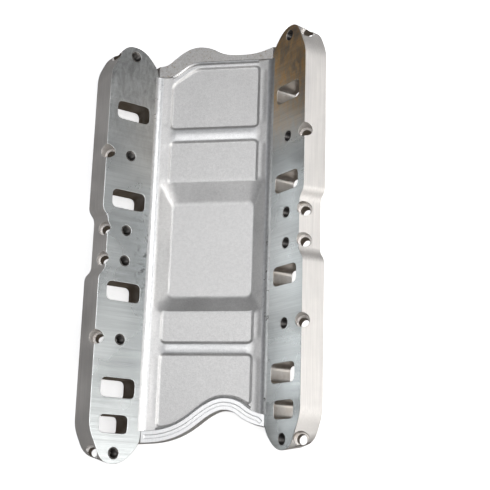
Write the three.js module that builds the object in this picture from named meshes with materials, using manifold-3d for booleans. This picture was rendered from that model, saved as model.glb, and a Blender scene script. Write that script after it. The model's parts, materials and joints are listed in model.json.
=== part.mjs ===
// Lower intake base of a 90-degree V8: two 45-degree port rails, a valley tray and two end rails.
// Millimetres: +Y runs to the rear along the rails, +X across, +Z up, z = 0 under the tray's recess.
// The rails are named as seen from above with the front end nearest: left is -X, right is +X.
import * as THREE from "three";
import { mergeVertices } from "three/addons/utils/BufferGeometryUtils.js";
import Module from "manifold-3d";

const wasm = await Module();
wasm.setup();

// ---- Driving dimensions -------------------------------------------------------------------
const GAP = 0.3; // clearance between neighbouring pieces
const PAST = 5; // how far a cutting tool runs past the face that it opens
const FAR = 300; // half the length of blanks and tools that something else trims
const OVERLAP = 20; // how far the valley's pieces reach before the port rails' space trims them
const LAP = 1; // how deep two bodies of one piece reach into each other
const SAME_POINT = 1e-3; // points nearer than this are one point

// Port rails. Across = along the sloped face from its lower, inner edge.
const PORT_PITCH = 111.25; // spacing of the cylinders along one bank
const BANK_STAGGER = 18.7; // how far one bank sits ahead of the other
const VALLEY_WIDTH = 142.6; // between the inner edges of the two machined faces
const SEAM_HEIGHT = 20.9; // height of those inner edges
const FACE_TILT = Math.PI / 4; // slope of the machined faces
const RAIL_LENGTH = 504;
const RAIL_WIDTH = 65.8;
const RAIL_THICKNESS = 27.6;
const RAIL_DRAFT = 4.6; // extra width of the lower, mating face
const TOP_SHOULDER = [18.5, 0]; // bevel at each end of the machined face: across, back
const MATING_SHOULDER = [13.4, 10]; // and of the mating face
const BEVEL_LENGTH = 39; // how far that bevel reaches back along the outer edge
const INNER_END_ACROSS = 22; // where each end starts to run back to the inner edge
const INNER_END_BACK = 23; // how far back it is there
const RAIL_RADIUS = { notch: 5, bevel: 10, shoulder: 12, end: 14, inner: 12 };
const NOTCH_DEPTH = 7.7; // relief between the two middle bolts
const NOTCH_HALF_LENGTH = 31;
const NOTCH_RAMP = 9;

// Openings through the rails.
const PORT = { across: 32.4, length: 43.2, width: 22.1, corner: 7 };
const WATER_PORT = { across: 35.4, length: 35.4, width: 20.2, corner: 6 };
const WATER_PORT_AHEAD = 40.9; // from the front port's centre to the water port's centre

// Fasteners of each rail: a tapped hole and a bolt hole share each place along it.
const MIDDLE_BOLT = 18.3; // from the rail's middle
const END_BOLT = 239.8;
const TAPPED_ACROSS = 33.2;
const INSERT_DIAMETER = 12.4;
const INSERT_BORE = 8.2;
const INSERT_LENGTH = 15;
const INSERT_CHAMFER = 1.4;
const INSERT_SINK = 0.2; // below the machined face
const INSERT_FOOT = 1; // room below the insert
const BOLT_FROM_SEAM = 46.7; // horizontal distance from the seam edge to the vertical bolt axis
const BOLT_HOLE = 11;
const SPOT_FACE = 16.5;
const SEAT_HEIGHT = 46.8;

// Valley tray.
const BAND_HEIGHT = 19; // of the tray's top beside the weld
const RIB_HEIGHT = 17; // of the tray's top at the panels
const PANEL_DEPTH = 2;
const PANEL_HALF_WIDTH = 54.5;
const PANEL_CORNER = 5;
const PANEL_INSET = 1; // from the panels' half width to their floors
const PANEL_LEAN = 0.5; // how far their walls lean out for each millimetre up
const TRAY_WALL = 4.5;
const RECESS_FLOOR = 4.5;
const RECESS_RIM = { y: -3, halfX: 65, halfY: 80.1, corner: 13 };
const RECESS_BASE = { y: -5.8, halfX: 50.5, halfY: 58.2, corner: 7 };
const WELD_WIDTH = 5.4;
const WELD_DEPTH = 4;
const WELD_LAND = 1.2; // flat strip beside the machined face
const WELD_SHOULDER = 3; // from that face to where the weld starts to fall towards the tray
const WELD_DROP = 0.3;

// End rails.
const END_TOP = 20.6;
const END_DEPTH = 18;
const FRONT_WIDTH = 13.5;
const GROOVE_WIDTH = 4;
const GROOVE_DEPTH = 1.6;
const GROOVE_END = 4; // how far the groove stops short of each port rail
const FILLET_WELD = 3;
const FILLET_CREST = 0.6; // width of the fillet weld at its top

// Segments of round walls.
const SEGMENTS = { bolt: 28, spotFace: 32, pocket: 24, insert: 20 };

const seamX = VALLEY_WIDTH / 2;
const panelFloor = RIB_HEIGHT - PANEL_DEPTH;
const boltPlaces = [END_BOLT, PORT_PITCH, MIDDLE_BOLT, -MIDDLE_BOLT, -PORT_PITCH, -END_BOLT];
const portPlaces = [1.5, 0.5, -0.5, -1.5].map((n) => n * PORT_PITCH);
const waterPlace = -1.5 * PORT_PITCH - WATER_PORT_AHEAD;

// ---- Geometry helpers ---------------------------------------------------------------------
const solid = (geometry) => {
  const bare = new THREE.BufferGeometry();
  const source = geometry.index ? geometry.toNonIndexed() : geometry;
  bare.setAttribute("position", source.getAttribute("position"));
  const merged = mergeVertices(bare, SAME_POINT / 10);
  return new wasm.Manifold(
    new wasm.Mesh({
      numProp: 3,
      vertProperties: new Float32Array(merged.attributes.position.array),
      triVerts: new Uint32Array(merged.index.array),
    }),
  );
};

const cut = (body, ...tools) => tools.reduce((rest, tool) => rest.subtract(tool), body);
const join = (...bodies) => bodies.reduce((sum, body) => sum.add(body));

const geometryOf = (body) => {
  const mesh = body.getMesh();
  const geometry = new THREE.BufferGeometry();
  geometry.setAttribute("position", new THREE.BufferAttribute(mesh.vertProperties, mesh.numProp));
  geometry.setIndex(new THREE.BufferAttribute(mesh.triVerts, 1));
  const flat = geometry.toNonIndexed();
  flat.computeVertexNormals();
  return flat;
};

// A closed path through corners [x, y, radius], each corner rounded by its radius.
const outline = (corners, divisions = 5) => {
  const path = new THREE.Path();
  const count = corners.length;
  corners.forEach(([x, y, radius = 0], i) => {
    const corner = new THREE.Vector2(x, y);
    const towards = (j) => {
      const [nx, ny] = corners[(j + count) % count];
      const step = new THREE.Vector2(nx, ny).sub(corner);
      return corner.clone().addScaledVector(step, Math.min(0.5, radius / step.length()));
    };
    const start = towards(i - 1);
    const end = towards(i + 1);
    if (i === 0) path.moveTo(start.x, start.y);
    else path.lineTo(start.x, start.y);
    if (radius > 0) path.quadraticCurveTo(corner.x, corner.y, end.x, end.y);
  });
  const points = path.getPoints(divisions);
  return points.filter((p, i) => p.distanceTo(points[(i + 1) % points.length]) > SAME_POINT);
};

// An open path through corners [x, y, radius] as points.
const route = (corners, divisions = 6) => {
  const first = corners[0];
  const last = corners.at(-1);
  const inner = corners.slice(1, -1).map(([x, y, radius], i) => {
    const corner = new THREE.Vector2(x, y);
    const before = new THREE.Vector2(...corners[i].slice(0, 2));
    const after = new THREE.Vector2(...corners[i + 2].slice(0, 2));
    const reach = (other) => {
      const step = other.sub(corner);
      return corner.clone().addScaledVector(step, Math.min(0.48, radius / step.length()));
    };
    return new THREE.QuadraticBezierCurve(reach(before), corner, reach(after)).getPoints(divisions);
  });
  return [new THREE.Vector2(first[0], first[1]), ...inner.flat(), new THREE.Vector2(last[0], last[1])];
};

// The path shifted sideways, each stretch staying parallel to itself: a positive distance moves
// it to the left of its direction.
const shifted = (points, distance) => {
  const sideways = points.slice(1).map((point, i) => {
    const along = point.clone().sub(points[i]).normalize();
    return new THREE.Vector2(-along.y, along.x);
  });
  return points.map((point, i) => {
    const before = sideways[Math.max(i - 1, 0)];
    const after = sideways[Math.min(i, sideways.length - 1)];
    const mitre = before.clone().add(after).divideScalar(1 + before.dot(after));
    return point.clone().addScaledVector(mitre, distance);
  });
};

// The closed outline between two sideways shifts of a path.
const ribbon = (points, right, left) => [...shifted(points, right), ...shifted(points, left).reverse()];

const rectangle = (x, y, sizeX, sizeY, corner) =>
  outline([
    [x - sizeX / 2, y - sizeY / 2, corner],
    [x + sizeX / 2, y - sizeY / 2, corner],
    [x + sizeX / 2, y + sizeY / 2, corner],
    [x - sizeX / 2, y + sizeY / 2, corner],
  ]);

// A closed body between a lower and an upper outline that have the same number of points.
const loft = (lower, lowZ, upper, highZ) => {
  const count = lower.length;
  const caps = THREE.ShapeUtils.triangulateShape(lower, []);
  const vertices = [...lower.map((p) => [p.x, p.y, lowZ]), ...upper.map((p) => [p.x, p.y, highZ])];
  const index = [];
  caps.forEach(([a, b, c]) => index.push(a, c, b, a + count, b + count, c + count));
  lower.forEach((_, i) => {
    const next = (i + 1) % count;
    index.push(i, next, next + count, i, next + count, i + count);
  });
  const geometry = new THREE.BufferGeometry();
  geometry.setAttribute("position", new THREE.Float32BufferAttribute(vertices.flat(), 3));
  geometry.setIndex(index);
  return geometry;
};

const prism = (points, lowZ, highZ) => loft(points, lowZ, points, highZ);

const cylinder = (x, y, diameter, lowZ, highZ, segments) =>
  new THREE.CylinderGeometry(diameter / 2, diameter / 2, highZ - lowZ, segments)
    .rotateX(Math.PI / 2)
    .translate(x, y, (lowZ + highZ) / 2);

// Moves a shape drawn on a rail's machined face (x across, y along, z out of it) into the bank's
// frame, where +X points away from the valley.
const ontoFace = (geometry) => geometry.rotateY(-FACE_TILT).translate(seamX, 0, SEAM_HEIGHT);

// ---- Materials ----------------------------------------------------------------------------
const material = (color, roughness, metalness) =>
  new THREE.MeshStandardMaterial({ color, roughness, metalness });
const machined = material(0xa3a6a7, 0.32, 1);
const blasted = material(0xc4c5c3, 0.6, 1);
const weldMetal = material(0xcfd0cf, 0.42, 1);
const darkSteel = material(0x2b2a28, 0.45, 1);

const piece = (name, geometry, finish) => {
  const mesh = new THREE.Mesh(geometry, finish);
  mesh.name = name;
  return mesh;
};

// ---- Port rails ---------------------------------------------------------------------------
// The outline of the machined face, or of the mating face below it: the draft widens that one, and
// its ends are cut back on the outer side, at [corner across, corner from the end].
const railOutline = (draft, [shoulder, shoulderBack]) => {
  const half = RAIL_LENGTH / 2;
  const width = RAIL_WIDTH + draft;
  const quarter = [
    [width - NOTCH_DEPTH, NOTCH_HALF_LENGTH, RAIL_RADIUS.notch],
    [width, NOTCH_HALF_LENGTH + NOTCH_RAMP, RAIL_RADIUS.notch],
    [width, half - BEVEL_LENGTH, RAIL_RADIUS.bevel],
    [width - shoulder, half - shoulderBack, RAIL_RADIUS.shoulder],
    [INNER_END_ACROSS, half - shoulderBack / 5, RAIL_RADIUS.end],
    [0, half - INNER_END_BACK, RAIL_RADIUS.inner],
  ];
  const mirrored = quarter.map(([x, y, radius]) => [x, -y, radius]).reverse();
  return outline([...quarter, ...mirrored]);
};

const portRail = (bank) => {
  const top = railOutline(0, TOP_SHOULDER);
  const mating = railOutline(RAIL_DRAFT, MATING_SHOULDER);
  const slab = solid(ontoFace(loft(mating, -RAIL_THICKNESS, top, 0)));
  const opening = (port, place) => {
    const shape = rectangle(port.across, bank * place, port.length, port.width, port.corner);
    return solid(ontoFace(prism(shape, -RAIL_THICKNESS - PAST, PAST)));
  };
  const tools = portPlaces.map((place) => opening(PORT, place));
  tools.push(opening(WATER_PORT, waterPlace));
  boltPlaces.forEach((place) => {
    const x = seamX + BOLT_FROM_SEAM;
    const y = bank * place;
    tools.push(solid(cylinder(x, y, BOLT_HOLE, -PAST, SEAT_HEIGHT + PAST, SEGMENTS.bolt)));
    tools.push(solid(cylinder(x, y, SPOT_FACE, SEAT_HEIGHT, FAR, SEGMENTS.spotFace)));
    const bore = INSERT_DIAMETER + 2 * GAP;
    const foot = -INSERT_LENGTH - INSERT_FOOT;
    const pocket = cylinder(TAPPED_ACROSS, y, bore, foot, PAST, SEGMENTS.pocket);
    tools.push(solid(ontoFace(pocket)));
  });
  return geometryOf(cut(slab, ...tools));
};

const insertGeometry = () => {
  const bore = INSERT_BORE / 2;
  const outer = INSERT_DIAMETER / 2;
  const profile = [
    [bore, -INSERT_LENGTH],
    [outer, -INSERT_LENGTH],
    [outer, -INSERT_SINK],
    [bore + INSERT_CHAMFER, -INSERT_SINK],
    [bore, -INSERT_SINK - INSERT_CHAMFER],
    [bore, -INSERT_LENGTH],
  ].map(([radius, height]) => new THREE.Vector2(radius, height));
  return new THREE.LatheGeometry(profile, SEGMENTS.insert).rotateX(Math.PI / 2);
};

// bank = 1 is the +X side and bank = -1 the -X side, which is the same rail turned half round.
const bankGroup = (side, bank) => {
  const group = new THREE.Group();
  group.rotation.z = bank > 0 ? 0 : Math.PI;
  group.position.y = (bank * BANK_STAGGER) / 2;
  group.add(piece(`${side}_port_rail`, portRail(bank), machined));
  boltPlaces.forEach((place, i) => {
    const insert = insertGeometry().translate(TAPPED_ACROSS, bank * place, 0);
    group.add(piece(`${side}_thread_insert_${i + 1}`, ontoFace(insert), darkSteel));
  });
  return group;
};

// The space that a rail keeps clear of the tray, the end rails and the welds.
const railSpace = (bank) => {
  const block = new THREE.BoxGeometry(FAR, 4 * FAR, FAR).translate(FAR / 2 - GAP, 0, 0);
  return solid(ontoFace(block).rotateZ(bank > 0 ? 0 : Math.PI));
};
const railSpaces = [railSpace(1), railSpace(-1)];

// ---- End rails ----------------------------------------------------------------------------
// The front one bends round the distributor; the rear one has a rounded bulge on one side.
const frontCentre = route([
  [-seamX - OVERLAP, -230.7],
  [-33, -227.2, 28],
  [12, -190.7, 24],
  [36, -190.7, 16],
  [54, -205.2, 14],
  [seamX + OVERLAP, -212.7],
]);
const rearInner = route([
  [-seamX - OVERLAP, 212],
  [-55, 212, 8],
  [-30, 230.6, 10],
  [seamX + OVERLAP, 230.6],
]);
const rearOuter = route([
  [-seamX - OVERLAP, 226.5],
  [-62, 226.5, 8],
  [-34, 250.5, 18],
  [-9, 250.5, 18],
  [12, 237.8, 16],
  [50, 237.8, 14],
  [seamX + OVERLAP, 254],
]);

const endRail = (shape) => {
  const bar = solid(prism(shape, END_TOP - END_DEPTH, END_TOP));
  return cut(bar, ...railSpaces);
};

const frontRail = () => {
  const bar = endRail(ribbon(frontCentre, -FRONT_WIDTH / 2, FRONT_WIDTH / 2));
  const reach = seamX - GROOVE_END;
  const inside = frontCentre.filter((p) => Math.abs(p.x) < reach);
  const ends = [new THREE.Vector2(-reach, -229), new THREE.Vector2(reach, -210.5)];
  const seal = ribbon([ends[0], ...inside, ends[1]], -GROOVE_WIDTH / 2, GROOVE_WIDTH / 2);
  return geometryOf(cut(bar, solid(prism(seal, END_TOP - GROOVE_DEPTH, END_TOP + PAST))));
};

const rearRail = () => geometryOf(endRail([...rearInner, ...rearOuter.toReversed()]));

// A fillet weld along an end rail's inner wall, on the flat part of the tray's top. inward = 1
// lays it to the left of the wall's path.
const filletWeld = (wall, inward) => {
  const side = (from, to) =>
    inward > 0 ? ribbon(wall, from, to) : ribbon(wall, -to, -from);
  const foot = side(GAP, GAP + FILLET_WELD);
  const crest = side(GAP, GAP + FILLET_CREST);
  const bead = solid(loft(foot, RIB_HEIGHT + GAP, crest, RIB_HEIGHT + GAP + FILLET_WELD));
  const between = new THREE.BoxGeometry(2 * PANEL_HALF_WIDTH, 2 * FAR, FAR);
  return geometryOf(bead.intersect(solid(between)));
};

// ---- Valley tray --------------------------------------------------------------------------
const frontWall = shifted(frontCentre, FRONT_WIDTH / 2 + GAP);
const rearWall = shifted(rearInner, -GAP);

// The plan between the two end rails, with the top pitched down from each weld to the panels.
const trayBlank = () => {
  const plan = [...frontWall, ...rearWall.toReversed()];
  const slab = solid(prism(plan, panelFloor - TRAY_WALL, RIB_HEIGHT));
  const bandSlope = (BAND_HEIGHT - RIB_HEIGHT) / (seamX - WELD_WIDTH - PANEL_HALF_WIDTH);
  const bands = [1, -1].map((side) => {
    const section = [
      [PANEL_HALF_WIDTH, RIB_HEIGHT - LAP],
      [seamX + OVERLAP, RIB_HEIGHT - LAP],
      [seamX + OVERLAP, RIB_HEIGHT + bandSlope * (seamX + OVERLAP - PANEL_HALF_WIDTH)],
      [PANEL_HALF_WIDTH, RIB_HEIGHT],
    ].map(([x, z]) => new THREE.Vector2(side * x, z));
    const points = side > 0 ? section : section.reverse();
    const wedge = prism(points, -FAR, FAR).rotateX(Math.PI / 2);
    return solid(wedge).intersect(solid(prism(plan, 0, FAR)));
  });
  return join(slab, ...bands);
};

const weldRebates = () =>
  [1, -1].map((side) => {
    const width = OVERLAP + WELD_WIDTH;
    const x = side * (seamX - WELD_WIDTH + width / 2);
    const low = BAND_HEIGHT - WELD_DEPTH;
    return solid(new THREE.BoxGeometry(width, 2 * FAR, FAR).translate(x, 0, low + FAR / 2));
  });

const panelPocket = (corners) => {
  const floor = outline(corners);
  const centre = floor.reduce((sum, p) => sum.add(p), new THREE.Vector2()).divideScalar(floor.length);
  const rise = PANEL_DEPTH + PAST;
  const rim = floor.map((p) => {
    const away = p.clone().sub(centre);
    const lean = new THREE.Vector2(Math.sign(away.x), Math.sign(away.y)).multiplyScalar(rise * PANEL_LEAN);
    return p.clone().add(lean);
  });
  return solid(loft(floor, panelFloor, rim, panelFloor + rise));
};

const panels = () => {
  const w = PANEL_HALF_WIDTH - PANEL_INSET;
  const r = PANEL_CORNER;
  return [
    [[-w, 145.5, r], [w, 145.5, r], [w, 222.5, r], [-24, 222.5, r], [-w, 202.5, r]],
    [[-w, 60, 0], [w, 60, 0], [w, 126.5, r], [-w, 126.5, r]],
    [[-w, -119, r], [w, -119, r], [w, -70, 0], [-w, -70, 0]],
    [[-w, -217, r], [-32, -214, 20], [10, -180.5, 16], [38, -180.5, 12], [w, -190, r],
      [w, -134.5, r], [-w, -134.5, r]],
  ].map(panelPocket);
};

// The recess widens upwards from its base: its sides reach the rim's width at the bands, and its
// ends the rim's length at the panel floors. grown = 0 is its inside, TRAY_WALL its underside.
const recessBody = (grown, lowZ, highZ) => {
  const level = (z) => {
    const sideways = (z - RECESS_FLOOR) / (BAND_HEIGHT - RECESS_FLOOR);
    const endways = (z - RECESS_FLOOR) / (panelFloor - RECESS_FLOOR);
    const at = (key, part) => THREE.MathUtils.lerp(RECESS_BASE[key], RECESS_RIM[key], part);
    const size = (half, part) => 2 * (at(half, part) + Math.SQRT2 * grown);
    return rectangle(
      0, at("y", endways), size("halfX", sideways), size("halfY", endways), at("corner", endways),
    );
  };
  return solid(loft(level(lowZ), lowZ, level(highZ), highZ));
};

const valleyTray = () => {
  const bowl = recessBody(TRAY_WALL, 0, panelFloor - LAP);
  const body = cut(join(trayBlank(), bowl), ...weldRebates(), ...railSpaces);
  return geometryOf(cut(body, ...panels(), recessBody(0, RECESS_FLOOR, BAND_HEIGHT + PAST)));
};

// The weld that fills the rebate between the tray and a port rail, with a slightly raised crown.
const seamWeld = (side) => {
  const inner = seamX - WELD_WIDTH + GAP;
  const low = BAND_HEIGHT - WELD_DEPTH + GAP;
  const section = [
    [inner, low],
    [seamX + OVERLAP, low],
    [seamX + OVERLAP, SEAM_HEIGHT],
    [seamX - WELD_LAND, SEAM_HEIGHT],
    [seamX - WELD_SHOULDER, SEAM_HEIGHT - WELD_DROP],
    [inner, BAND_HEIGHT - WELD_DROP],
  ].map(([x, z]) => new THREE.Vector2(side * x, z));
  const points = side > 0 ? section : section.reverse();
  const bar = solid(prism(points, -FAR, FAR).rotateX(Math.PI / 2));
  const plan = solid(prism([...frontWall, ...rearWall.toReversed()], 0, FAR));
  return geometryOf(cut(bar.intersect(plan), ...railSpaces));
};

// ---- Assembly -----------------------------------------------------------------------------
const manifold = new THREE.Group();
manifold.add(
  bankGroup("left", -1),
  bankGroup("right", 1),
  piece("valley_tray", valleyTray(), blasted),
  piece("front_end_rail", frontRail(), machined),
  piece("rear_end_rail", rearRail(), blasted),
  piece("left_seam_weld", seamWeld(-1), weldMetal),
  piece("right_seam_weld", seamWeld(1), weldMetal),
  piece("front_rail_weld", filletWeld(frontWall, 1), weldMetal),
  piece("rear_rail_weld", filletWeld(rearWall, -1), weldMetal),
);

export default manifold;
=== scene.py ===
import json
import math

import bmesh
import bpy
import numpy as np
from mathutils import Matrix, Vector


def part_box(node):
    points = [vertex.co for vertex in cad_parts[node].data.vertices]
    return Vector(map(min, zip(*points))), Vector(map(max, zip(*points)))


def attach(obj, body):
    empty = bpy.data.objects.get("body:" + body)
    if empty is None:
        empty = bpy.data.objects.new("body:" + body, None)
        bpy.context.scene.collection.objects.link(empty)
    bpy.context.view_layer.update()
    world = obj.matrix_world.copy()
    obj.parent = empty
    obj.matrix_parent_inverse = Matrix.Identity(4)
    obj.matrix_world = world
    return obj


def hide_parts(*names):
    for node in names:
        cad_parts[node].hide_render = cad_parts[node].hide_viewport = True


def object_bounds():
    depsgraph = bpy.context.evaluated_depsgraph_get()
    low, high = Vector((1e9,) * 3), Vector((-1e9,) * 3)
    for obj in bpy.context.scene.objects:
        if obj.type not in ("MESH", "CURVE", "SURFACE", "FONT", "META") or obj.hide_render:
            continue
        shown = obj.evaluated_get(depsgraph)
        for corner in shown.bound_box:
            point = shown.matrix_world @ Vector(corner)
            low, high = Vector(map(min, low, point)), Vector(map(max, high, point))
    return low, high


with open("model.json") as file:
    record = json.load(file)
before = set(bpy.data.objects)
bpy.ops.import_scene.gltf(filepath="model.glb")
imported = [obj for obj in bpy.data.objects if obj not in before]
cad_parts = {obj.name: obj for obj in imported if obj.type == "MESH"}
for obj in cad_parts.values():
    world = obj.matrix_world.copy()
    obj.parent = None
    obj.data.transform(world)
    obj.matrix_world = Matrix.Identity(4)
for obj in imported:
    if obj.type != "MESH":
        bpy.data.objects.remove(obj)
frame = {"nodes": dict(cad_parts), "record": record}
cad_low, cad_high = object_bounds()

MM = 0.001
SIDES = {"left": -1, "right": 1}
SLOPE = math.radians(45)  # of the machined faces
EDGE_ANGLE = math.radians(30)  # edges sharper than this are eased
GAP = 0.3 * MM  # between neighbouring CAD pieces
SLOPED_GAP = 0.42 * MM  # that gap across a machined face's slope, measured level

seam_low, seam_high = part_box("right_seam_weld")
SEAM_Z = seam_high.z  # height of the machined faces' inner edges
# distance of those edges from the middle
SEAM_X = seam_high.x - (seam_high.z - seam_low.z) + SLOPED_GAP


# ---- Mesh helpers ---------------------------------------------------------------------------
def add_piece(name, mesh, nodes, finishes):
    """A new piece that stands for CAD nodes and rides on the body."""
    piece = bpy.data.objects.new(name, mesh)
    bpy.context.scene.collection.objects.link(piece)
    if not mesh.materials:
        for finish in finishes:
            mesh.materials.append(finish)
    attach(piece, "root")
    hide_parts(*nodes)
    return piece


def joined_shape(node):
    """A CAD node's shape, with its triangles joined into flat faces."""
    shape = bmesh.new()
    shape.from_mesh(frame["nodes"][node].data)
    bmesh.ops.remove_doubles(shape, verts=shape.verts, dist=0.02 * MM)
    bmesh.ops.dissolve_limit(
        shape, angle_limit=math.radians(1), verts=shape.verts, edges=shape.edges
    )
    return shape


def eased_piece(node, width, finishes, finish_of=lambda face: 0):
    """A CAD node's shape with its sharp edges rounded off."""
    shape = joined_shape(node)
    for face in shape.faces:
        face.material_index = finish_of(face)
    sharp = [edge for edge in shape.edges if edge.calc_face_angle(0) > EDGE_ANGLE]
    bmesh.ops.bevel(
        shape, geom=sharp, offset=width, offset_type="OFFSET", segments=2, profile=0.5,
        affect="EDGES", clamp_overlap=False, material=-1,
    )
    bmesh.ops.remove_doubles(shape, verts=shape.verts, dist=0.01 * MM)
    for face in shape.faces:
        face.smooth = True
    mesh = bpy.data.meshes.new(node + "_eased")
    shape.to_mesh(mesh)
    shape.free()
    piece = add_piece(node + "_eased", mesh, [node], finishes)
    shading = piece.modifiers.new("shading", "WEIGHTED_NORMAL")
    shading.keep_sharp = True
    return piece


def grid_mesh(name, rows, closed=False):
    """A mesh of quads between rows of points, each row an array of shape (n, 3)."""
    rows = np.asarray(rows, float)
    count, width = rows.shape[:2]
    index = np.arange(count * width).reshape(count, width)
    if closed:
        index = np.hstack([index, index[:, :1]])
    a, b, c, d = index[:-1, :-1], index[:-1, 1:], index[1:, 1:], index[1:, :-1]
    quads = np.stack([a, b, c, d], axis=-1).reshape(-1, 4)
    mesh = bpy.data.meshes.new(name)
    mesh.from_pydata(rows.reshape(-1, 3).tolist(), [], quads.tolist())
    return mesh


def close_ends(mesh):
    """Caps the open loops of a swept mesh, faces it outwards and shades it smooth."""
    shape = bmesh.new()
    shape.from_mesh(mesh)
    bmesh.ops.remove_doubles(shape, verts=shape.verts, dist=0.005 * MM)
    bmesh.ops.holes_fill(shape, edges=shape.edges, sides=0)
    bmesh.ops.recalc_face_normals(shape, faces=shape.faces)
    for face in shape.faces:
        face.smooth = True
    for edge in shape.edges:
        edge.smooth = edge.calc_face_angle(0) < math.radians(50)
    shape.to_mesh(mesh)
    shape.free()


# ---- Camera ---------------------------------------------------------------------------------
def look_at(obj, place, target, roll=0.0):
    """Puts obj at place, looking at target, with +Y up in the picture and a roll in degrees."""
    back = (Vector(place) - Vector(target)).normalized()
    right = Vector((0, 1, 0)).cross(back).normalized()
    up = back.cross(right)
    turned = Matrix.Rotation(math.radians(roll), 3, back)
    right, up = turned @ right, turned @ up
    axes = Matrix((right, up, back)).transposed().to_4x4()
    obj.matrix_world = Matrix.Translation(place) @ axes


def add_camera():
    """The camera that the main picture is taken from."""
    data = bpy.data.cameras.new("camera")
    camera = bpy.data.objects.new("camera", data)
    bpy.context.scene.collection.objects.link(camera)
    data.sensor_width = 36
    data.lens = 76.06
    data.clip_start = 0.05
    data.clip_end = 20
    look_at(camera, (0.2598, -0.3018, 1.1810), (0.0453, -0.0073, 0.030), 1.72)
    bpy.context.scene.camera = camera


# ---- Node materials -------------------------------------------------------------------------
class Nodes:
    """Short calls for building a node tree."""

    def __init__(self, tree):
        self.tree = tree

    def add(self, kind, inputs=None, **settings):
        node = self.tree.nodes.new(kind)
        for key, value in settings.items():
            setattr(node, key, value)
        for key, value in (inputs or {}).items():
            self.feed(node.inputs[key], value)
        return node

    def feed(self, socket, value):
        if isinstance(value, bpy.types.NodeSocket):
            self.tree.links.new(value, socket)
        else:
            socket.default_value = value

    def math(self, operation, a, b=0.0):
        return self.add("ShaderNodeMath", {0: a, 1: b}, operation=operation).outputs[0]

    def ramp(self, value, low, high, to_low=0.0, to_high=1.0):
        """value mapped from low..high to to_low..to_high with soft ends."""
        node = self.add(
            "ShaderNodeMapRange",
            {"Value": value, "From Min": low, "From Max": high,
             "To Min": to_low, "To Max": to_high},
            interpolation_type="SMOOTHSTEP",
        )
        return node.outputs["Result"]

    def mix(self, share, a, b, blend="MIX"):
        node = self.add("ShaderNodeMix", data_type="RGBA", blend_type=blend)
        for socket, value in ((0, share), (6, a), (7, b)):
            self.feed(node.inputs[socket], value)
        return node.outputs[2]

    def shade(self, colour, factor):
        """colour made lighter or darker by a factor."""
        grey = self.add("ShaderNodeCombineColor", {0: factor, 1: factor, 2: factor})
        return self.mix(1.0, colour, grey.outputs[0], "MULTIPLY")

    def axes(self, vector):
        parts = self.add("ShaderNodeSeparateXYZ", {0: vector}).outputs
        return parts[0], parts[1], parts[2]

    def noise(self, place, scale, detail=3.0, roughness=0.5, stretch=(1, 1, 1), distortion=0.0):
        scaled = self.add("ShaderNodeVectorMath", {0: place, 1: stretch}, operation="MULTIPLY")
        node = self.add(
            "ShaderNodeTexNoise",
            {"Vector": scaled.outputs[0], "Scale": scale, "Detail": detail,
             "Roughness": roughness, "Distortion": distortion},
        )
        return node.outputs["Fac"]

    def bump(self, height, distance, normal=None):
        node = self.add("ShaderNodeBump", {"Height": height, "Distance": distance})
        if normal is not None:
            self.feed(node.inputs["Normal"], normal)
        return node.outputs["Normal"]


def new_material(name):
    made = bpy.data.materials.new(name)
    made.use_nodes = True
    made.node_tree.nodes.clear()
    nodes = Nodes(made.node_tree)
    shader = nodes.add("ShaderNodeBsdfPrincipled")
    output = nodes.add("ShaderNodeOutputMaterial")
    made.node_tree.links.new(shader.outputs[0], output.inputs["Surface"])
    place = nodes.add("ShaderNodeTexCoord").outputs["Object"]
    return made, nodes, shader, place


def grey(level, warmth=0.0):
    return (level * (1 + warmth), level, level * (1 - warmth), 1)


# Heights and distances from the middle over which the ribs' tops are painted lighter, a painted
# highlight, fading in and out.
RIB_HIGHLIGHT_HEIGHT = (0.0163, 0.0175)
RIB_HIGHLIGHT_SIDE = (0.05, 0.056)


def blasted_aluminium():
    """Matte, fine-grained cast surface, with a painted highlight along the ribs' tops."""
    made, n, shader, place = new_material("blasted_aluminium")
    grain = n.noise(place, 1100, 3, 0.6)
    coarse = n.noise(place, 260, 3, 0.6)
    patches = n.noise(place, 16, 4, 0.6)
    sideways, _, height = n.axes(place)
    rib_highlight = n.math("MULTIPLY", n.ramp(height, *RIB_HIGHLIGHT_HEIGHT),
                    n.ramp(n.math("ABSOLUTE", sideways), *RIB_HIGHLIGHT_SIDE, 1.0, 0.0))
    colour = n.mix(n.ramp(patches, 0.32, 0.68), grey(0.64, 0.01), grey(0.72, 0.01))
    # painted highlight: the ribs' tops mixed towards a lighter grey
    colour = n.mix(rib_highlight, colour, grey(0.75))
    colour = n.shade(colour, n.ramp(grain, 0.3, 0.7, 0.88, 1.06))
    colour = n.shade(colour, n.ramp(coarse, 0.3, 0.7, 0.95, 1.03))
    n.feed(shader.inputs["Base Color"], colour)
    shader.inputs["Metallic"].default_value = 0.92
    rough = n.ramp(patches, 0.3, 0.7, 0.46, 0.54)
    rough = n.math("SUBTRACT", rough, n.math("MULTIPLY", rib_highlight, 0.07))
    n.feed(shader.inputs["Roughness"], rough)
    n.feed(shader.inputs["Normal"], n.bump(coarse, 0.00012, n.bump(grain, 0.00008)))
    return made


def speckled_aluminium():
    """Rougher cast surface of the rear end rail, with warm brown specks."""
    made, n, shader, place = new_material("speckled_aluminium")
    grain = n.noise(place, 800, 3, 0.6)
    specks = n.noise(place, 330, 4, 0.7)
    colour = n.shade(grey(0.52, 0.02), n.ramp(grain, 0.3, 0.7, 0.85, 1.08))
    colour = n.mix(n.ramp(specks, 0.55, 0.7), colour, (0.36, 0.3, 0.22, 1))
    n.feed(shader.inputs["Base Color"], colour)
    shader.inputs["Metallic"].default_value = 0.85
    n.feed(shader.inputs["Roughness"], n.ramp(specks, 0.3, 0.7, 0.42, 0.6))
    n.feed(shader.inputs["Normal"], n.bump(specks, 0.0001, n.bump(grain, 0.00006)))
    return made


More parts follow.
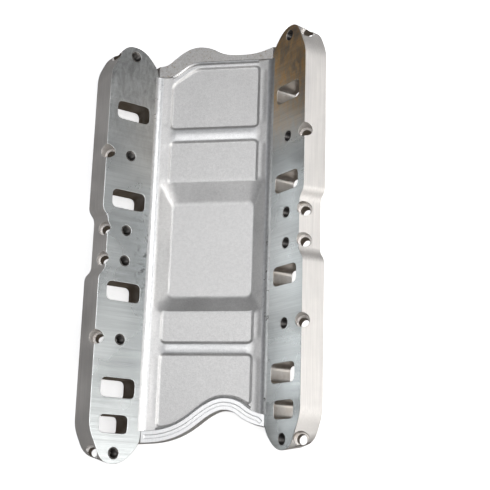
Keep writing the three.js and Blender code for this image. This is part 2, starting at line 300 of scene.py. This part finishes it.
# Where the dark flecks lie: distance from the middle, and their ends along the rail.
FLECK_SIDE = (0.073, 0.09)
FLECK_FRONT = (-0.1, -0.04)
FLECK_REAR = (0.01, 0.06)


def machined_face(name, rear_tint_colour, rear_tint_from, rear_tint_to, rear_tint_strength, fleck_strength):
    """Fly-cut face: fine lines across the rail, tinted towards its rear, flecked beside the
    seam. On the right rail that tint is a painted reflection in warm brown; on the left it is
    darker mottling.
    """
    made, n, shader, place = new_material(name)
    sideways, along, _ = n.axes(place)
    lines = n.noise(place, 1.0, 3, 0.65, (30, 2600, 30))
    bands = n.noise(place, 1.0, 3, 0.6, (7, 330, 7))
    clouds = n.noise(place, 15, 3, 0.5, distortion=0.4)
    colour = n.mix(n.ramp(clouds, 0.3, 0.7), (0.655, 0.68, 0.685, 1), (0.725, 0.75, 0.75, 1))
    # towards the rear the colour is mixed with the tint; on the right rail this is a painted
    # reflection in warm brown
    rear_tint = n.noise(place, 120, 6, 0.72, (1, 0.45, 1), distortion=0.4)
    reach = n.ramp(along, rear_tint_from, rear_tint_to)
    amount = n.math("MULTIPLY", n.ramp(rear_tint, 0.28, 0.72, 0.35, 1.0), reach)
    amount = n.math("MULTIPLY", amount, rear_tint_strength)
    colour = n.mix(amount, colour, rear_tint_colour)
    from_middle = n.math("ABSOLUTE", sideways)
    near_seam = n.ramp(from_middle, *FLECK_SIDE, 1.0, 0.1)
    at_middle = n.math(
        "MULTIPLY", n.ramp(along, *FLECK_FRONT), n.ramp(along, *FLECK_REAR, 1.0, 0.0)
    )
    specks = n.ramp(n.noise(place, 150, 4, 0.75), 0.52, 0.66)
    flecks = n.math("MULTIPLY", specks, near_seam)
    flecks = n.math("MULTIPLY", n.math("MULTIPLY", flecks, at_middle), fleck_strength)
    colour = n.mix(flecks, colour, grey(0.14))
    colour = n.shade(colour, n.ramp(lines, 0.3, 0.7, 0.93, 1.05))
    colour = n.shade(colour, n.ramp(bands, 0.3, 0.7, 0.93, 1.05))
    n.feed(shader.inputs["Base Color"], colour)
    shader.inputs["Metallic"].default_value = 1.0
    rough = n.ramp(clouds, 0.3, 0.7, 0.23, 0.31)
    rough = n.math("ADD", rough, n.math("MULTIPLY", amount, 0.3))
    n.feed(shader.inputs["Roughness"], rough)
    n.feed(shader.inputs["Normal"], n.bump(bands, 0.00005, n.bump(lines, 0.000015)))
    return made


def milled_side():
    """End-milled flanks: satin, with fine lines along the rail."""
    made, n, shader, place = new_material("milled_side")
    lines = n.noise(place, 1.0, 3, 0.6, (1500, 14, 1500))
    grain = n.noise(place, 700, 2, 0.6)
    clouds = n.noise(place, 18, 4, 0.6)
    colour = n.mix(n.ramp(clouds, 0.3, 0.7), grey(0.75, 0.03), grey(0.83, 0.03))
    colour = n.shade(colour, n.ramp(lines, 0.3, 0.7, 0.93, 1.04))
    n.feed(shader.inputs["Base Color"], colour)
    shader.inputs["Metallic"].default_value = 0.85
    n.feed(shader.inputs["Roughness"], n.ramp(clouds, 0.3, 0.7, 0.6, 0.7))
    n.feed(shader.inputs["Normal"], n.bump(grain, 0.00004, n.bump(lines, 0.00003)))
    return made


def port_wall():
    """Port and bolt bore walls: cutter steps down the wall, and a darker, browner grey than the
    flanks, which is painted shade inside the holes.
    """
    made, n, shader, place = new_material("port_wall")
    steps = n.noise(place, 1.0, 2, 0.5, (500, 60, 500))
    clouds = n.noise(place, 60, 3, 0.6)
    colour = n.mix(n.ramp(clouds, 0.35, 0.65), grey(0.52, 0.08), grey(0.68, 0.04))
    n.feed(shader.inputs["Base Color"], colour)
    shader.inputs["Metallic"].default_value = 1.0
    n.feed(shader.inputs["Roughness"], n.ramp(clouds, 0.3, 0.7, 0.3, 0.44))
    n.feed(shader.inputs["Normal"], n.bump(steps, 0.00004))
    return made


def end_rail_face():
    """Bright machined end rail."""
    made, n, shader, place = new_material("end_rail_face")
    lines = n.noise(place, 1.0, 3, 0.6, (900, 40, 900))
    clouds = n.noise(place, 30, 3, 0.6)
    colour = n.mix(n.ramp(clouds, 0.3, 0.7), grey(0.78), grey(0.88))
    colour = n.shade(colour, n.ramp(lines, 0.3, 0.7, 0.95, 1.03))
    n.feed(shader.inputs["Base Color"], colour)
    shader.inputs["Metallic"].default_value = 0.85
    n.feed(shader.inputs["Roughness"], n.ramp(clouds, 0.3, 0.7, 0.34, 0.44))
    n.feed(shader.inputs["Normal"], n.bump(lines, 0.00002))
    return made


def weld_aluminium():
    """Dressed weld, with dark flecks of spatter and porosity."""
    made, n, shader, place = new_material("weld_aluminium")
    ripple = n.noise(place, 240, 2, 0.5)
    flecks = n.noise(place, 170, 3, 0.7)
    where = n.noise(place, 13, 2, 0.5)
    amount = n.math("MULTIPLY", n.ramp(flecks, 0.6, 0.68), n.ramp(where, 0.5, 0.62))
    colour = n.mix(n.ramp(ripple, 0.3, 0.7), grey(0.7), grey(0.8))
    colour = n.mix(amount, colour, grey(0.16, 0.05))
    n.feed(shader.inputs["Base Color"], colour)
    shader.inputs["Metallic"].default_value = 0.95
    n.feed(shader.inputs["Roughness"], n.ramp(amount, 0.0, 1.0, 0.34, 0.6))
    n.feed(shader.inputs["Normal"], n.bump(ripple, 0.0001))
    return made


def insert_steel():
    """Dark, oily steel of the threaded inserts."""
    made, n, shader, place = new_material("insert_steel")
    grain = n.noise(place, 900, 3, 0.6)
    n.feed(shader.inputs["Base Color"], n.mix(grain, grey(0.07, 0.05), grey(0.16, 0.05)))
    shader.inputs["Metallic"].default_value = 1.0
    n.feed(shader.inputs["Roughness"], n.ramp(grain, 0.3, 0.7, 0.28, 0.42))
    return made


# ---- Port rails -----------------------------------------------------------------------------
LARGEST_WALL = 1500 * MM * MM  # area of a port's longest wall; the flanks are larger
BOLT_HOLE = 11.4 * MM  # a little over the bores' own width
SEAT_Z = 46.7 * MM  # just below the bolts' seats; the bores lie under it
PORT_FROM = 6 * MM  # the ports' band, measured up the slope from the seam
PORT_TO = 57 * MM
PORT_MARGIN = 4 * MM  # a port's wall may lie this far outside its opening's box
MACHINED, FLANK, BORE_WALL = 0, 1, 2  # a rail's finishes, in the order of its slots


def face_normal(side):
    return Vector((-side * math.sin(SLOPE), 0, math.cos(SLOPE)))


def rail_finish(side):
    """Tells a rail's machined face, its flanks and the walls of its ports and bores apart."""
    normal = face_normal(side)
    across = Vector((side * math.cos(SLOPE), 0, math.sin(SLOPE)))
    edge = Vector((side * SEAM_X, 0, SEAM_Z))
    openings = frame["record"]["physics"]["openings"]
    ports = [hole["box_m"] for hole in openings if "port" in hole["name"]]
    bolts = [hole["box_m"] for hole in openings if "bolt" in hole["name"]]

    def inside_port(point):
        return PORT_FROM < (point - edge).dot(across) < PORT_TO and any(
            low[1] - PORT_MARGIN < point.y < high[1] + PORT_MARGIN for low, high in ports
        )

    def inside_bolt_hole(point):
        reach = BOLT_HOLE / 2
        return point.z < SEAT_Z and any(
            abs(point.x - (low[0] + high[0]) / 2) < reach
            and abs(point.y - (low[1] + high[1]) / 2) < reach
            for low, high in bolts
        )

    def finish_of(face):
        centre = face.calc_center_median()
        if face.normal.dot(normal) > 0.999 and abs((centre - edge).dot(normal)) < MM:
            return MACHINED
        # bores and port walls take the darker wall finish, painted shade inside the holes
        if inside_bolt_hole(centre):
            return BORE_WALL
        if face.calc_area() < LARGEST_WALL and inside_port(centre):
            return BORE_WALL
        return FLANK

    return finish_of


# ---- Thread inserts -------------------------------------------------------------------------
THREAD_PITCH = 1.5875 * MM
THREAD_DEPTH = 0.75 * MM
THREAD_FLANK = 1.3  # steepness of a thread's flanks; 1 would reach full depth at a point
THREAD_CREST = 0.15  # how far the flanks sink into the bore, which flattens the crests
BORE = 4.1 * MM  # radius
LEAD_IN = 1.4 * MM  # chamfer at the mouth of the bore
RIM_CHAMFER = 0.3 * MM
THREAD_STEPS = 8  # rows of points to a turn
AROUND = 40


def insert_mesh(radius, length):
    """A steel insert with its thread cut inside, its axis on Z and centred on its length."""
    angle = np.arange(AROUND) * 2 * math.pi / AROUND
    top = length / 2
    rows = []

    def ring(distance, height):
        distance = np.broadcast_to(distance, angle.shape)
        rows.append(np.stack(
            [distance * np.cos(angle), distance * np.sin(angle), np.full(AROUND, height)], 1
        ))

    ring(BORE, -top)
    ring(radius, -top)
    ring(radius, top - RIM_CHAMFER)
    ring(radius - RIM_CHAMFER, top)
    ring(BORE + LEAD_IN, top)
    turns = int((length - LEAD_IN) / THREAD_PITCH)
    for step in range(turns * THREAD_STEPS):
        height = top - LEAD_IN - step * THREAD_PITCH / THREAD_STEPS
        phase = (height / THREAD_PITCH + angle / (2 * math.pi)) % 1
        flank = np.clip(THREAD_FLANK * (1 - np.abs(2 * phase - 1)) - THREAD_CREST, 0, 1)
        ring(BORE + THREAD_DEPTH * flank, height)
    mesh = grid_mesh("thread_insert", [*rows, rows[0]], closed=True)
    close_ends(mesh)
    return mesh


def add_inserts(finish):
    """One shared mesh, placed at each of the CAD's inserts."""
    low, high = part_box("right_thread_insert_1")
    radius = (high.y - low.y) / 2
    length = (high.x - low.x) / math.sin(SLOPE) - 2 * radius
    mesh = insert_mesh(radius, length)
    for side, sign in SIDES.items():
        turn = Matrix.Rotation(-sign * SLOPE, 4, "Y")
        for number in range(1, 7):
            node = f"{side}_thread_insert_{number}"
            low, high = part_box(node)
            piece = bpy.data.objects.new(f"{node}_threaded", mesh)
            bpy.context.scene.collection.objects.link(piece)
            if not mesh.materials:
                mesh.materials.append(finish)
            piece.matrix_world = Matrix.Translation((low + high) / 2) @ turn
            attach(piece, "root")
            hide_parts(node)


# ---- Valley tray ----------------------------------------------------------------------------
SMALLEST_PANEL = 1500 * MM * MM  # area; smaller flat faces aren't panels
WIDEST_PLAN = 75 * MM  # half-width within which the tray's ends are looked up


class TrayPlan:
    """What the CAD tray says: its plan, its panels, its recess and its top."""

    def __init__(self):
        self.shape = joined_shape("valley_tray")
        verts = np.array([v.co for v in frame["nodes"]["valley_tray"].data.vertices])
        edges = np.array([e.vertices for e in frame["nodes"]["valley_tray"].data.edges])
        self.starts, self.ends = verts[edges[:, 0]], verts[edges[:, 1]]
        flat = [face for face in self.shape.faces if face.normal.z > 0.9999]
        levels = sorted({round(face.calc_center_median().z / MM, 1) for face in flat})
        self.floor_z = levels[0] * MM
        recess = [f for f in flat if abs(f.calc_center_median().z - self.floor_z) < 0.1 * MM]
        self.recess = max(recess, key=lambda face: face.calc_area())
        self.edge_x = seam_low.x - GAP
        panels = [
            f for f in flat
            if f.calc_area() > SMALLEST_PANEL and f is not self.recess
            and abs(f.calc_center_median().x) < self.edge_x / 2
        ]
        self.panel_z = min(face.calc_center_median().z for face in panels)
        self.panels = [
            self.corners(f) for f in panels
            if abs(f.calc_center_median().z - self.panel_z) < 0.1 * MM
        ]
        self.rib_z = max(f.calc_center_median().z for f in flat)
        beside = np.abs(np.abs(verts[:, 0]) - self.edge_x) < 0.1 * MM
        self.band_z = verts[beside, 2].max()
        ribs = [f for f in flat if abs(f.calc_center_median().z - self.rib_z) < 0.05 * MM]
        self.band_x = max(np.abs(self.corners(face)[:, 0]).max() for face in ribs)
        base = self.corners(self.recess)
        self.base_low, self.base_high = base.min(0), base.max(0)
        longest = sorted(self.recess.edges, key=lambda edge: -edge.calc_length())[:4]
        run = {}
        for edge in longest:
            wall = next(face for face in edge.link_faces if face is not self.recess)
            key = max("xy", key=lambda axis: abs(getattr(wall.normal, axis)))
            side = -1 if getattr(wall.normal, key) > 0 else 1
            run[key, side] = wall.normal.z / abs(getattr(wall.normal, key))
        self.run_low = np.array([run["x", -1], run["y", -1]])
        self.run_high = np.array([run["x", 1], run["y", 1]])
        self.under_z = min(
            f.calc_center_median().z for f in self.shape.faces
            if f.normal.z < -0.999 and f.calc_center_median().z > 5 * MM
        )

    @staticmethod
    def corners(face):
        """The x and y of a face's corners."""
        return np.array([v.co[:2] for v in face.verts])

    def band(self, x):
        """Height of the slope between the ribs and the weld beside each port rail."""
        share = (np.abs(x) - self.band_x) / (self.edge_x - self.band_x)
        return self.rib_z + (self.band_z - self.rib_z) * share

    def limits(self, x):
        """The tray's front and rear ends at each x."""
        fronts, rears = [], []
        for place in np.asarray(x, float):
            place = np.clip(place, -WIDEST_PLAN, WIDEST_PLAN)
            span = self.ends[:, 0] - self.starts[:, 0]
            with np.errstate(divide="ignore", invalid="ignore"):
                share = (place - self.starts[:, 0]) / span
            crosses = (np.abs(span) > 1e-7) & (share >= 0) & (share <= 1)
            start, end = self.starts[crosses, 1], self.ends[crosses, 1]
            y = start + share[crosses] * (end - start)
            fronts.append(y.min())
            rears.append(y.max())
        return np.array(fronts), np.array(rears)


def smooth_min(a, b, reach):
    """The lower of a and b, rounded where they come within reach of each other."""
    near = np.maximum(reach - np.abs(a - b), 0) / reach
    return np.minimum(a, b) - near * near * reach / 4


def smooth_max(a, b, reach):
    """The higher of a and b, rounded in the same way."""
    return -smooth_min(-a, -b, reach)


def outside(corners, x, y):
    """Signed distance from points to a closed outline, negative inside it."""
    distance = np.full(x.shape, 1e9)
    within = np.zeros(x.shape, bool)
    for (ax, ay), (bx, by) in zip(corners, np.roll(corners, -1, axis=0)):
        dx, dy = bx - ax, by - ay
        share = np.clip(((x - ax) * dx + (y - ay) * dy) / (dx * dx + dy * dy), 0, 1)
        distance = np.minimum(distance, np.hypot(x - ax - share * dx, y - ay - share * dy))
        if abs(dy) > 1e-9:
            crosses = (ay > y) != (by > y)
            within ^= crosses & (x < ax + (y - ay) * dx / dy)
    return np.where(within, -distance, distance)


FINE_REACH = 2 * MM  # the fine spacing holds this far from a feature
SPACING_FADE = 8 * MM  # and turns coarse over this distance


def spaced(low, high, features, fine, coarse):
    """Places from low to high, close together near the features and wider apart elsewhere."""
    places = [low]
    while places[-1] < high:
        near = min((abs(places[-1] - f) for f in features), default=1.0)
        share = min(1.0, max(0.0, (near - FINE_REACH) / SPACING_FADE))
        places.append(places[-1] + fine + (coarse - fine) * share)
    places[-1] = high
    return np.array(places)


PANEL_WALL = 1.4  # rise of a panel's wall for each step outwards
BASE_CORNER = 8 * MM  # of the recess, at its floor
CORNER_GROWTH = 0.55  # how much that corner grows for each step upwards
RIB_CROWN = 1.0 * MM
COVE_DEPTH = 0.55 * MM  # of the hollow between each rail and the panels
BOWL_WALL = 4.5 * MM  # thickness of the recess's walls, square to a 45-degree slope
REBATE_Z = seam_low.z - GAP
CROWN_MARGIN = 4 * MM  # how far past the panels' sides the ribs' crown starts to rise
CROWN_FADE = 10 * MM  # and over what distance it reaches its height
CROWN_REACH = 2 * MM  # how far the crown's foot lies inside the panels
COVE_FADE = 9 * MM
BAND_FILLET = 0.4 * MM
POCKET_FILLET = 1.8 * MM
FLOOR_FILLET = 1.4 * MM
RIM_FILLET = 1.6 * MM
UNDER_FILLET = 3 * MM  # where the recess's underside meets its flat
BOWL_FILLET = 2 * MM  # where it meets the tray's underside


def recess_rise(plan, x, y):
    """Height above the recess's floor of its walls, whose plan is a rounded rectangle."""
    levels = np.linspace(-0.3, 1.3, 33) * (plan.rib_z - plan.floor_z)
    rise = np.full(x.shape, levels[-1])
    last = None
    for level in levels:
        low = plan.base_low - plan.run_low * level
        high = plan.base_high + plan.run_high * level
        corner = BASE_CORNER + CORNER_GROWTH * level
        dx = np.maximum(low[0] - x, x - high[0]) + corner
        dy = np.maximum(low[1] - y, y - high[1]) + corner
        outer = np.hypot(np.maximum(dx, 0), np.maximum(dy, 0))
        inner = np.minimum(np.maximum(dx, dy), 0)
        distance = outer + inner - corner
        if last is None:
            rise = np.where(distance <= 0, level, rise)
        else:
            crossed = (last > 0) & (distance <= 0)
            share = last / np.maximum(last - distance, 1e-12)
            rise = np.where(crossed, level - (levels[1] - levels[0]) * (1 - share), rise)
        last = distance
    return rise


def bell(value, low, high):
    """1 halfway between low and high, falling smoothly to 0 at both."""
    return np.sin(np.clip((value - low) / (high - low), 0, 1) * math.pi) ** 2


def tray_heights(plan, x, y):
    """Top of the tray: bands and ribs, four shallow panels and the deep recess, with fillets."""
    top = np.full(x.shape, plan.rib_z)
    top = smooth_max(top, plan.band(x), BAND_FILLET)
    side = max(abs(c[:, 0]).max() for c in plan.panels)
    spans = sorted((c[:, 1].min(), c[:, 1].max()) for c in plan.panels)
    inboard = np.clip((side + CROWN_MARGIN - np.abs(x)) / CROWN_FADE, 0, 1)
    for lower, upper in ((spans[0], spans[1]), (spans[2], spans[3])):
        crown = bell(y, lower[1] - CROWN_REACH, upper[0] + CROWN_REACH)
        top = top + RIB_CROWN * crown * inboard
    across = bell(np.abs(x), side, seam_low.x)
    for low, high in (spans[0], (spans[1][0], spans[2][1]), spans[3]):
        ends = np.clip(np.minimum(y - low, high - y) / COVE_FADE, 0, 1)
        top = top - COVE_DEPTH * across * ends * ends * (3 - 2 * ends)
    for corners in plan.panels:
        pocket = plan.panel_z + PANEL_WALL * outside(corners, x, y)
        pocket = smooth_max(pocket, np.full(x.shape, plan.panel_z), POCKET_FILLET)
        top = smooth_min(top, pocket, POCKET_FILLET)
    rise = plan.floor_z + recess_rise(plan, x, y)
    recess = smooth_max(np.full(x.shape, plan.floor_z), rise, FLOOR_FILLET)
    return smooth_min(top, recess, RIM_FILLET)


FINE = 0.5 * MM  # spacing of the tray's points beside its panels' and recess's edges
COARSE_X = 2.4 * MM  # and away from them, across and along the tray
COARSE_Y = 2.2 * MM
CORE_FRONT = -160 * MM  # between these the rows of points run straight across
CORE_REAR = 190 * MM
FRONT_STRIP, REAR_STRIP, STRIP_STEP = 11, 13.5, 0.5  # mm; the close rows along each end
RIM_OUT = 11 * MM  # about how far the recess's rim lies outside its floor


def tray_mesh():
    """The tray as one closed shell: a fine grid on top, and the same grid underneath."""
    plan = TrayPlan()
    inner = seam_low.x - GAP  # where the weld's rebate starts
    corner = SEAM_X + SEAM_Z - plan.under_z - SLOPED_GAP
    step = SEAM_X + SEAM_Z - REBATE_Z - SLOPED_GAP
    sides = [abs(c[:, 0]).max() for c in plan.panels]
    base = plan.base_high[0]
    rim = [s * e for s in (1, -1) for e in (max(sides), base, base + RIM_OUT)]
    columns = spaced(-inner, inner, rim, FINE, COARSE_X)
    x = np.concatenate([[-corner, -step, -inner], columns, [inner, step, corner]])
    front, rear = plan.limits(x)
    ends = [c[:, 1].min() for c in plan.panels] + [c[:, 1].max() for c in plan.panels]
    ends += [plan.base_low[1], plan.base_high[1]]
    core = spaced(CORE_FRONT, CORE_REAR, ends, FINE, COARSE_Y)
    fine = np.arange(0, FRONT_STRIP, STRIP_STEP) * MM
    rows = [front + offset for offset in fine]
    rows += [rows[-1] * (1 - s) + core[0] * s for s in np.linspace(0, 1, 24)[1:-1]]
    rows += [np.full(x.shape, place) for place in core]
    behind = [rear - offset for offset in (np.arange(0, REAR_STRIP, STRIP_STEP) * MM)[::-1]]
    rows += [core[-1] * (1 - s) + behind[0] * s for s in np.linspace(0, 1, 12)[1:-1]]
    rows += behind
    y = np.array(rows)
    x = np.broadcast_to(x, y.shape)
    top = tray_heights(plan, x, y)
    top[:, [0, -1]] = plan.under_z
    top[:, [1, 2, -3, -2]] = REBATE_Z
    under = np.full(x.shape, plan.under_z)
    bowl = plan.floor_z + recess_rise(plan, x, y) - math.sqrt(2) * BOWL_WALL
    bowl = smooth_max(bowl, np.zeros(x.shape), UNDER_FILLET)
    under = smooth_min(under, bowl, BOWL_FILLET)
    under[:, [0, -1]] = plan.under_z
    under = np.maximum(under, 0)
    upper = np.stack([x, y, top], -1)
    lower = np.stack([x, y, under], -1)
    loop = np.concatenate([upper, lower[:, ::-1]], axis=1)
    mesh = grid_mesh("valley_tray_formed", loop, closed=True)
    shape = bmesh.new()
    shape.from_mesh(mesh)
    shape.verts.ensure_lookup_table()
    width = loop.shape[1]
    half = width // 2
    for row in (0, loop.shape[0] - 1):
        base = row * width
        for j in range(half - 1):
            corners = [base + j, base + j + 1, base + width - 2 - j, base + width - 1 - j]
            shape.faces.new([shape.verts[k] for k in corners])
    bmesh.ops.remove_doubles(shape, verts=shape.verts, dist=0.005 * MM)
    bmesh.ops.dissolve_degenerate(shape, edges=shape.edges, dist=0.002 * MM)
    bmesh.ops.recalc_face_normals(shape, faces=shape.faces)
    for face in shape.faces:
        face.smooth = True
    for edge in shape.edges:
        edge.smooth = edge.calc_face_angle(0) < math.radians(60)
    shape.to_mesh(mesh)
    shape.free()
    plan.shape.free()
    return mesh


# ---- Welds ----------------------------------------------------------------------------------
RIPPLE = 2.4 * MM
BEAD_RISE = 3 * MM  # how far the bead climbs the machined face
BEAD_SINK = 0.95 * MM  # how far in and down from the seam's corner the curve is drawn
BEAD_LAP = 0.6 * MM  # how far the bead reaches past the CAD weld, over the gap and the tray
FACE_LIFT = 0.05 * MM  # the bead's edges lie this far above the face
TRAY_LIFT = 0.03 * MM  # and above the tray
RIPPLE_HEIGHT = 0.03 * MM
DRIFT_HEIGHT = 0.05 * MM  # of the slow rise and fall along the bead
DRIFT_LENGTH = 31 * MM
BOW_LENGTH = 6 * MM  # the shorter, the more the ripples bow along the bead
FILLET_SWELL = 0.06  # of the ripples, as a share of the fillet's size
FILLET_FLATNESS = 1.4  # of the fillet's face: 1 is round and 2 is flat


def seam_weld_mesh(sign):
    """The bead between the tray and a port rail, with the ripples of a dressed weld."""
    plan = TrayPlan()
    inner = seam_low.x
    start = np.array([SEAM_X + BEAD_RISE, SEAM_Z + BEAD_RISE + FACE_LIFT])
    middle = np.array([SEAM_X - BEAD_SINK, SEAM_Z - BEAD_SINK])
    end = np.array([inner - BEAD_LAP, plan.band(inner - BEAD_LAP) + TRAY_LIFT])
    share = np.linspace(0, 1, 9)[:, None]
    curve = (1 - share) ** 2 * start + 2 * share * (1 - share) * middle + share ** 2 * end
    # The buried part of the section: its foot in the rebate, and two points under the corner.
    hidden = [
        (inner, seam_low.z), (SEAM_X + SEAM_Z - seam_low.z - SLOPED_GAP, seam_low.z),
        (SEAM_X - 0.32 * MM, SEAM_Z - 0.1 * MM), (SEAM_X + 0.1 * MM, SEAM_Z + 0.2 * MM),
    ]
    section = np.concatenate([hidden, curve])
    xs, zs = section[:, 0], section[:, 1]
    crown = np.concatenate([np.zeros(len(hidden)), np.sin(share[:, 0] * math.pi)])
    front, rear = plan.limits(sign * xs)
    plan.shape.free()
    count = int((rear - front).max() / (RIPPLE / 4))
    rows = []
    for i in range(count + 1):
        y = front + (rear - front) * i / count
        bow = (xs - xs.mean()) ** 2 / BOW_LENGTH
        wave = RIPPLE_HEIGHT * np.sin((y + bow) * 2 * math.pi / RIPPLE)
        drift = DRIFT_HEIGHT * np.sin(y * 2 * math.pi / DRIFT_LENGTH) * crown
        rows.append(np.stack([sign * xs, y, zs + wave * crown + drift], 1))
    mesh = grid_mesh("seam_weld", rows, closed=True)
    close_ends(mesh)
    return mesh


def fillet_weld_mesh(node, inward):
    """The bead along an end rail's inner wall; inward is +1 where the tray lies towards +Y."""
    low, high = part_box(node)
    plan = TrayPlan()
    x = np.arange(low.x, high.x, RIPPLE / 4)
    front, rear = plan.limits(x)
    plan.shape.free()
    wall = front if inward > 0 else rear
    slope = np.gradient(wall, x)
    length = np.hypot(1, slope)
    normal = np.stack([-slope / length, 1 / length], 1) * inward
    run = np.concatenate([[0], np.cumsum(np.hypot(np.diff(x), np.diff(wall)))])
    foot = high.z - low.z
    rows = []
    for i in range(len(x)):
        swell = 1 + FILLET_SWELL * math.sin(run[i] * 2 * math.pi / RIPPLE)
        profile = [(0.0, 0.0), (foot, 0.0)]
        for t in (0.2, 0.4, 0.6, 0.8):
            angle = t * math.pi / 2
            reach = foot * (0.5 + 0.5 * swell)
            profile.append((
                reach * math.cos(angle) ** FILLET_FLATNESS,
                reach * math.sin(angle) ** FILLET_FLATNESS,
            ))
        profile.append((0.0, foot))
        rows.append([
            (x[i] + normal[i, 0] * d, wall[i] + normal[i, 1] * d, low.z - GAP + h)
            for d, h in profile
        ])
    mesh = grid_mesh(node + "_bead", rows, closed=True)
    close_ends(mesh)
    return mesh


# ---- Studio ---------------------------------------------------------------------------------
def area_light(name, place, target, size, power, colour=(1, 1, 1)):
    data = bpy.data.lights.new(name, "AREA")
    data.shape = "RECTANGLE"
    data.size, data.size_y = size
    data.energy = power
    data.color = colour
    light = bpy.data.objects.new(name, data)
    bpy.context.scene.collection.objects.link(light)
    look_at(light, place, target)


FLOOR_DROP = 0.0005  # below the object's lowest point


def add_studio():
    """A pale floor, a soft sky that is brighter on the +X side, and four area lights."""
    bpy.ops.mesh.primitive_plane_add(size=60, location=(0, 0, cad_low.z - FLOOR_DROP))
    floor = bpy.context.object
    floor.name = "floor"
    floor.visible_glossy = False
    made, _, shader, _ = new_material("floor")
    shader.inputs["Base Color"].default_value = (0.9, 0.9, 0.9, 1)
    shader.inputs["Roughness"].default_value = 0.9
    shader.inputs["Emission Color"].default_value = (1, 1, 1, 1)
    shader.inputs["Emission Strength"].default_value = 0.6
    floor.data.materials.append(made)

    world = bpy.context.scene.world or bpy.data.worlds.new("world")
    bpy.context.scene.world = world
    world.use_nodes = True
    n = Nodes(world.node_tree)
    background = world.node_tree.nodes["Background"]
    direction = n.add("ShaderNodeTexCoord").outputs["Generated"]
    x, y, z = n.axes(direction)
    sky = n.mix(n.ramp(z, -0.1, 0.75), (0.09, 0.075, 0.06, 1), (0.35, 0.36, 0.38, 1))
    shade = n.math("MULTIPLY", n.ramp(x, -0.9, 0.0, 0.5, 1.0), n.ramp(y, 0.2, 0.9, 1.0, 0.5))
    sky = n.shade(sky, n.math("MULTIPLY", shade, n.ramp(y, -0.95, -0.2, 0.6, 1.0)))
    bright = n.ramp(n.math("SUBTRACT", x, n.math("MULTIPLY", y, 0.14)), 0.73, 1.0)
    bright = n.math("MULTIPLY", bright, n.ramp(z, -0.15, 0.1))
    colour = n.mix(bright, sky, (0.45, 0.46, 0.46, 1))
    n.feed(background.inputs[0], colour)
    background.inputs[1].default_value = 1.0
    area_light("key", (1.1, -0.75, 1.3), (0, 0, 0), (1.5, 1.5), 13, (1, 0.98, 0.95))
    area_light("strip", (1.2, 0.2, 1.45), (0, 0, 0), (0.4, 1.3), 8)
    area_light("side", (1.85, -0.45, 0.6), (0, 0, 0), (1.4, 0.8), 4.5, (1, 0.99, 0.97))
    area_light("top", (-0.15, 0.35, 2.0), (0, 0, 0), (1.3, 1.1), 9)
    bpy.context.scene.view_settings.view_transform = "Standard"


# ---- The object -----------------------------------------------------------------------------
flank, wall = milled_side(), port_wall()
blasted, weld = blasted_aluminium(), weld_aluminium()
faces = {
    # darker mottling towards the rear of the left face
    "left": machined_face(
        "machined_face_left", rear_tint_colour=grey(0.2), rear_tint_from=0.04, rear_tint_to=0.21,
        rear_tint_strength=0.95, fleck_strength=0.9,
    ),
    # painted reflection: a warm brown towards the rear of the right face
    "right": machined_face(
        "machined_face_right", rear_tint_colour=(0.95, 0.63, 0.3, 1), rear_tint_from=0.09, rear_tint_to=0.2,
        rear_tint_strength=1.0, fleck_strength=0.1,
    ),
}
for side, sign in SIDES.items():
    eased_piece(
        f"{side}_port_rail", 0.6 * MM, [faces[side], flank, wall],
        rail_finish(sign),
    )
    add_piece(
        f"{side}_seam_weld_bead", seam_weld_mesh(sign), [f"{side}_seam_weld"],
        [weld],
    )
add_inserts(insert_steel())
add_piece("valley_tray_formed", tray_mesh(), ["valley_tray"], [blasted])
eased_piece("front_end_rail", 0.5 * MM, [end_rail_face()])
eased_piece("rear_end_rail", 0.6 * MM, [speckled_aluminium()])
for node, inward in (("front_rail_weld", 1), ("rear_rail_weld", -1)):
    bead = fillet_weld_mesh(node, inward)
    add_piece(node + "_bead", bead, [node], [weld])

add_camera()
add_studio()
